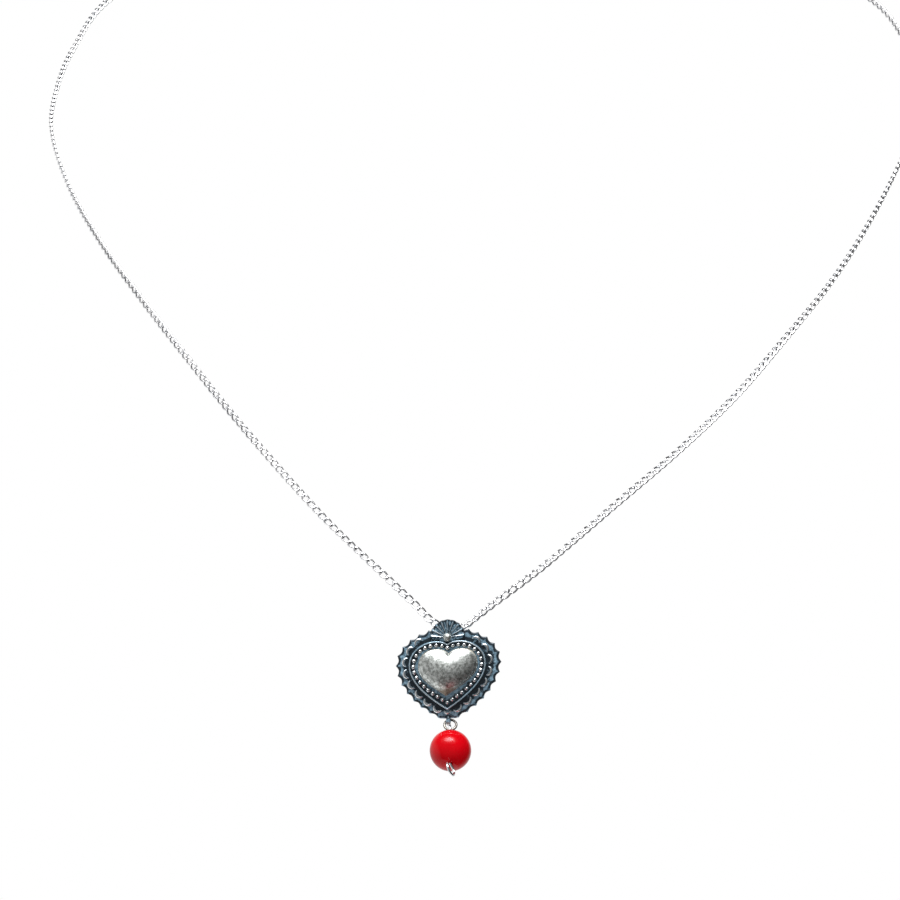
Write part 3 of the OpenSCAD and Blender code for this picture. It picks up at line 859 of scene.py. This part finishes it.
def make_dome(material):
    """Puffed, polished heart with a steep wall; its outline rounds off to an oval towards the top."""
    arms = dome_arms(DOME_POINTS)
    turn = np.arctan2(arms[:, 1], arms[:, 0])
    ovals = DOME_OVAL * np.stack([np.cos(turn), np.sin(turn)], axis=1)
    rings = [lift(DOME_MIDDLE + arms, TRAY_FACE)]
    wear = [np.full(len(arms), DOME_FOOT_WEAR)]
    for size, height in DOME_WALL_RINGS:
        rings.append(lift(DOME_MIDDLE + size * arms, TRAY_FACE + height))
        wear.append(np.full(len(arms), height))
    for share in np.linspace(0, 1, DOME_RINGS + 1)[:-1] ** DOME_CROWDING:
        size = DOME_INSET * (1 - share)
        height = DOME_WALL + DOME_RISE * (1 - (1 - share) ** 2) ** DOME_FULLNESS
        oval = min(1.0, DOME_ROUNDING * share)
        place = DOME_MIDDLE + size * ((1 - oval) * arms + oval * ovals)
        rings.append(lift(place, TRAY_FACE + height))
        wear.append(np.clip((place[:, 1] - DOME_TARNISH_FROM) / DOME_TARNISH_REACH, 0, 1))
    top = (*DOME_MIDDLE, TRAY_FACE + DOME_WALL + DOME_RISE)
    points, faces = capped(rings, (*DOME_MIDDLE, TRAY_FACE), top)
    dome = build("domed_heart", on_heart(points), faces, "heart", material,
                 np.concatenate(wear + [[0.0], [1.0]]))
    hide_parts("dome_heart")


def fan_edge(theta):
    """The fan's radius by angle: lobed along the rays, and the straight foot below."""
    phase = (theta - FAN_FROM) / FAN_SPAN * FAN_RAYS
    lobed = FAN_RADIUS - FAN_LOBE * (1 - np.abs(np.sin(math.pi * phase)))
    foot = np.array(FAN_FOOT)
    way = np.stack([np.cos(theta), np.sin(theta)], axis=1)
    best = np.full(len(theta), FAN_RADIUS)
    for a, b in zip(foot[:-1], foot[1:]):
        normal = np.array([b[1] - a[1], a[0] - b[0]])
        facing = way @ normal
        reach = (a @ normal) / np.where(np.abs(facing) < NEARLY_NONE, NEARLY_NONE, facing)
        hit = reach[:, None] * way
        inside = ((hit - a) @ (b - a) >= -CORNER_SLACK) & ((hit - b) @ (a - b) >= -CORNER_SLACK) & (reach > 0)
        best = np.where(inside, reach, best)
    on_fan = (theta >= FAN_FROM) & (theta <= FAN_FROM + FAN_SPAN)
    return np.where(on_fan, lobed, best), on_fan, phase


def make_fan(material):
    """Fan crest: sharp ridges along the rays and round flutes between them."""
    fan_theta = FAN_FROM + FAN_SPAN * np.linspace(0, 1, FAN_RAYS * FAN_RAY_STEPS + 1)
    foot_theta = np.linspace(FAN_FROM + FAN_SPAN, FAN_FROM + 2 * math.pi, FAN_FOOT_STEPS)[1:-1]
    theta = np.concatenate([fan_theta, foot_theta])[::-1]
    radius, on_fan, phase = fan_edge(theta)
    valley = np.where(on_fan, np.abs(np.sin(math.pi * (phase - 0.5))), 1.0)
    ridge = 1 - valley
    way = np.stack([np.cos(theta), np.sin(theta)], axis=1)
    # Crest wear, with a painted highlight that grows towards the side rays
    crest = (CREST_EVEN + CREST_SIDE_HIGHLIGHT * np.abs(way[:, 0])) * CREST_WEAR * ridge**CREST_SHARPNESS
    groove = GROOVE_WEAR * np.exp(-((valley - GROOVE_AT) / GROOVE_WIDTH) ** 2)
    shading = crest - groove + FAN_FLUTE_WEAR * valley**FAN_FLUTE_SHARPNESS
    face = [(share, FAN_FACE, FAN_RIDGE_ROOT + FAN_RIDGE_GROWTH * share, min(1.0, FAN_FADE * (1 - share)))
            for share in FAN_SHARES]
    rings, wear = [], []
    for share, base, height, worn in FAN_PROFILE + face:
        rings.append(lift(FAN_CENTRE + share * radius[:, None] * way, base + height * ridge))
        wear.append(worn * shading + FAN_EDGE_WEAR * (1 - worn))
    points, faces = capped(rings, (*FAN_CENTRE, PLATE_FACE), (*FAN_CENTRE, FAN_FACE))
    fan = build("fan_crest", on_heart(points), faces, "heart", material,
                np.concatenate(wear + [[0.0], [0.0]]))
    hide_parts("fan_plate", "fan_rays")


def make_ball(material):
    """Polished ball at the fan's root, cut off where it is soldered."""
    points, faces = grain(BALL_RADIUS, BALL_FOOT, BALL_STEPS, BALL_SIDES)
    points = points + (*FAN_CENTRE, FAN_FACE + BALL_LIFT)
    ball = build("fan_root_ball", on_heart(points), faces, "heart", material,
                 np.ones(len(points)))
    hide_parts("fan_ball")


def make_eyelet(material):
    """Soldered loop at the tip, seen on edge, its lower turn rubbed bright by the ring."""
    turn = 2 * math.pi * np.arange(EYELET_STEPS)[:, None] / EYELET_STEPS
    section = 2 * math.pi * np.arange(EYELET_SIDES)[None] / EYELET_SIDES
    reach = EYELET_RADIUS + EYELET_HALF_THICK * np.cos(section)
    across = np.broadcast_to(EYELET_HALF_WIDTH * np.sin(section), (EYELET_STEPS, EYELET_SIDES))
    points = np.stack([across, reach * np.sin(turn), reach * np.cos(turn)], axis=-1).reshape(-1, 3)
    wear = np.clip(EYELET_WEAR - points[:, 1], EYELET_LEAST_WEAR, EYELET_MOST_WEAR)
    faces = loft_faces(EYELET_STEPS, EYELET_SIDES, closed=True)
    loop = build("tip_loop", from_bail(EYELET + points), faces, "heart", material, wear)
    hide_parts("tip_eyelet")


def eye_turn(centre, radius, arc, turn=0.0):
    """Arc of an eye about its centre on the wire, from its lowest point; turn swings it about the wire."""
    a = np.radians(np.linspace(*arc, EYE_STEPS))
    side = radius * np.sin(a)
    return np.column_stack([side * math.sin(-turn), centre - radius * np.cos(a), side * math.cos(turn)])


def make_eye_wire(material):
    """One wire bent into an eye at each end, its ends butting against the stem."""
    upper = eye_turn(UPPER_EYE, UPPER_EYE_RADIUS, UPPER_EYE_ARC)
    along = np.linspace(STEM_FROM, STEM_TO, STEM_STEPS)
    stem = np.column_stack([np.zeros(STEM_STEPS), along, np.zeros(STEM_STEPS)])
    lower = eye_turn(LOWER_EYE, LOWER_EYE_RADIUS, LOWER_EYE_ARC, LOWER_EYE_TURN)
    path = np.concatenate([upper, stem, lower])
    radii = np.repeat([WIRE_RADIUS, STEM_RADIUS, WIRE_RADIUS], [len(upper), len(stem), len(lower)])
    points, faces = tube(path, radii, WIRE_SIDES, normal=np.array([1.0, 0.0, 0.0]))
    wire = build("bead_wire", on_dangle(points), faces, "dangle", material)
    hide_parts("eye_wire")


def make_bead(material):
    """Round bead with a drilled, slightly bevelled bore."""
    edge = math.asin((BEAD_BORE + BEAD_BEVEL) / BEAD_RADIUS)
    arc = np.linspace(edge, math.pi - edge, BEAD_RINGS)
    mouth = BEAD_RADIUS * math.cos(edge) - BEAD_BEVEL_DEPTH
    profile = [(BEAD_BORE, mouth)] + [(BEAD_RADIUS * math.sin(a), BEAD_RADIUS * math.cos(a)) for a in arc]
    profile += [(BEAD_BORE, -mouth)]
    rings = lathe(profile, BEAD_SIDES) + (0, BEAD_AT, 0)
    faces = loft_faces(len(rings), BEAD_SIDES, closed=True)
    bead = build("red_bead", on_dangle(rings.reshape(-1, 3)), faces, "bead", material)
    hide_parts("coral_bead")


def make_floor():
    """Round paper floor."""
    bpy.ops.mesh.primitive_circle_add(vertices=FLOOR_SIDES, radius=FLOOR_RADIUS * MM, fill_type="NGON",
                                      location=Vector(FLOOR_AT) * MM)
    floor = bpy.context.object
    floor.name = "floor"
    m = Nodes("floor_paper")
    m.feed(Base_Color=m.mix(m.noise(FLOOR_CLOUDS), FLOOR_DIM, FLOOR_PALE))
    m.set(Roughness=FLOOR_ROUGHNESS)
    floor.data.materials.append(m.material)


def sky_part(tree, towards, low, high, level):
    """Brightness of one part of the studio, rising from none to level as a direction turns towards it."""
    slope = tree.nodes.new("ShaderNodeVectorMath")
    slope.operation = "DOT_PRODUCT"
    slope.inputs[1].default_value = towards
    tree.links.new(tree.nodes.new("ShaderNodeTexCoord").outputs["Generated"], slope.inputs[0])
    shade = tree.nodes.new("ShaderNodeMapRange")
    shade.interpolation_type = "SMOOTHSTEP"
    for key, number in (("From Min", low), ("From Max", high), ("To Min", 0.0), ("To Max", level)):
        shade.inputs[key].default_value = number
    tree.links.new(slope.outputs["Value"], shade.inputs["Value"])
    return shade.outputs["Result"]


def brightest_part(tree):
    """Level of the brightest part of the studio in each direction."""
    level = sky_part(tree, *STUDIO[0])
    for part in STUDIO[1:]:
        brighter = tree.nodes.new("ShaderNodeMath")
        brighter.operation = "MAXIMUM"
        tree.links.new(level, brighter.inputs[0])
        tree.links.new(sky_part(tree, *part), brighter.inputs[1])
        level = brighter.outputs["Value"]
    return level


def make_world():
    """White studio; reflections see it bright behind and at the left, grey in front and dark at the right."""
    world = bpy.data.worlds.new("studio")
    bpy.context.scene.world = world
    world.use_nodes = True
    tree = world.node_tree
    least = tree.nodes.new("ShaderNodeMath")
    least.operation = "ADD"
    least.inputs[1].default_value = STUDIO_LEAST
    tree.links.new(brightest_part(tree), least.inputs[0])
    rays = tree.nodes.new("ShaderNodeLightPath").outputs
    glossy = tree.nodes.new("ShaderNodeMix")
    glossy.inputs["A"].default_value = STUDIO_FILL
    tree.links.new(rays["Is Glossy Ray"], glossy.inputs["Factor"])
    tree.links.new(least.outputs["Value"], glossy.inputs["B"])
    seen = tree.nodes.new("ShaderNodeMix")
    seen.inputs["B"].default_value = BACKDROP
    tree.links.new(rays["Is Camera Ray"], seen.inputs["Factor"])
    tree.links.new(glossy.outputs["Result"], seen.inputs["A"])
    background = tree.nodes["Background"]
    background.inputs["Color"].default_value = (1, 1, 1, 1)
    tree.links.new(seen.outputs["Result"], background.inputs["Strength"])


def add_light(name, place, target, size, power):
    """Soft oval lamp aimed at a target, in millimetres and watts."""
    data = bpy.data.lights.new(name, "AREA")
    data.shape = "ELLIPSE"
    data.size, data.size_y = (side * MM for side in size)
    data.energy = power
    lamp = bpy.data.objects.new(name, data)
    lamp.location = Vector(place) * MM
    lamp.rotation_euler = (Vector(target) - Vector(place)).to_track_quat("-Z", "Y").to_euler()
    bpy.context.scene.collection.objects.link(lamp)


def make_lights():
    """The softbox, aimed at the heart."""
    for name, offset, size, power in SOFTBOX:
        add_light(name, HEART_MIDDLE + offset, HEART_MIDDLE, size, power)


def make_heart():
    """All pieces that are soldered to the heart."""
    oxidised = oxidised_silver("oxidised_silver")
    polished = polished_silver("polished_silver", DOME_ROUGHNESS)
    satin = polished_silver("satin_silver", BALL_ROUGHNESS)
    make_plate(oxidised)
    make_scallops(oxidised)
    make_tray(oxidised)
    make_rim(oxidised)
    make_granules(oxidised)
    make_dome(polished)
    make_fan(oxidised)
    make_ball(satin)
    show_node("bail_tube", oxidised)
    # The eyelet's bright metal carries a painted red reflection of the bead
    make_eyelet(oxidised_silver("eyelet_silver_red_reflection", EYELET_SILVER_RED_REFLECTION))


def make_dangle():
    """Ring, wire and bead below the tip."""
    # The ring's dark silver colours are painted shade
    show_node("drop_ring", wire_silver("ring_silver_painted_shade", RING_PAINTED_SHADE_LIGHT, RING_PAINTED_SHADE_DULL, RING_ROUGHNESS))
    make_eye_wire(wire_silver("dangle_silver", WIRE_BRIGHT, WIRE_DULL, WIRE_ROUGHNESS))
    make_bead(red_bead_material("red_bead"))


bpy.context.scene.view_settings.view_transform = "Standard"
make_camera()
make_chain()
make_heart()
make_dangle()
make_floor()
make_world()
make_lights()
